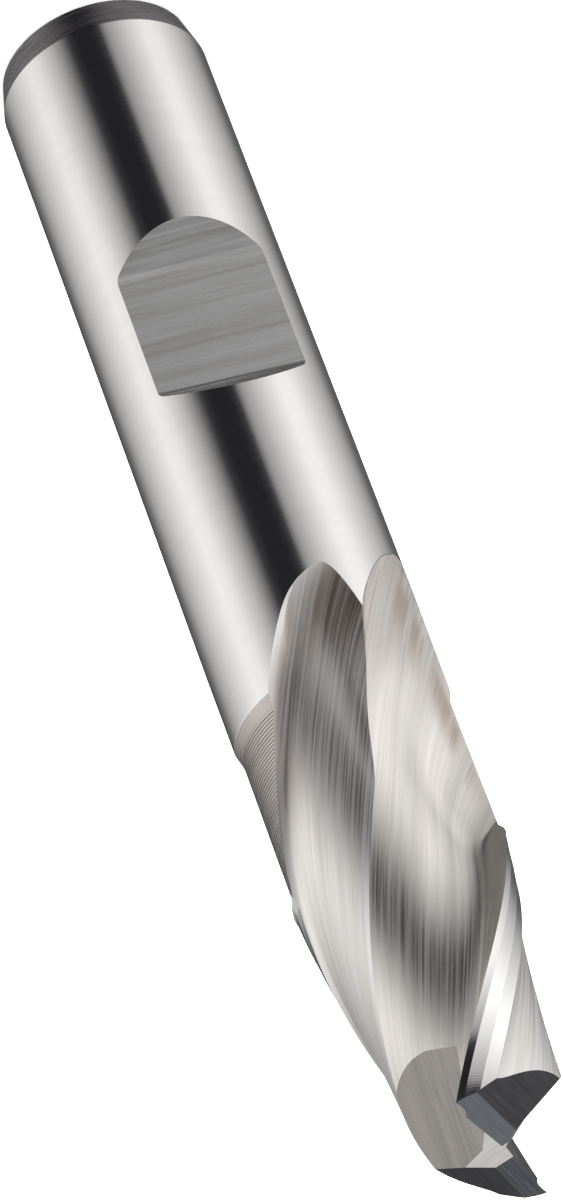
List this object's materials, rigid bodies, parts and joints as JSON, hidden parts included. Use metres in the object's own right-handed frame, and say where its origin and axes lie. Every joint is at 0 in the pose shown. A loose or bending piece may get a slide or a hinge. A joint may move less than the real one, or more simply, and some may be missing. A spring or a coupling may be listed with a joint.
{
  "type": "keyway end mill",
  "caption": "Right-hand helical keyway end mill with a centre-cutting gashed end, thinner neck and flatted cylindrical shank, stored standing on its shank end.",
  "frame": {"origin": "centre of the flat end of the shank", "axes": "+Z along the tool axis from the shank end to the cutting end; -Y is the outward side of the clamping flat"},
  "size_m": [0.012, 0.012, 0.0757],
  "materials": {
    "ground_tool_steel": "polished shank, satin ground flutes, dark ground end faces"
  },
  "bodies": {
    "root": {"end_mill": "ground_tool_steel"}
  },
  "joints": []
}
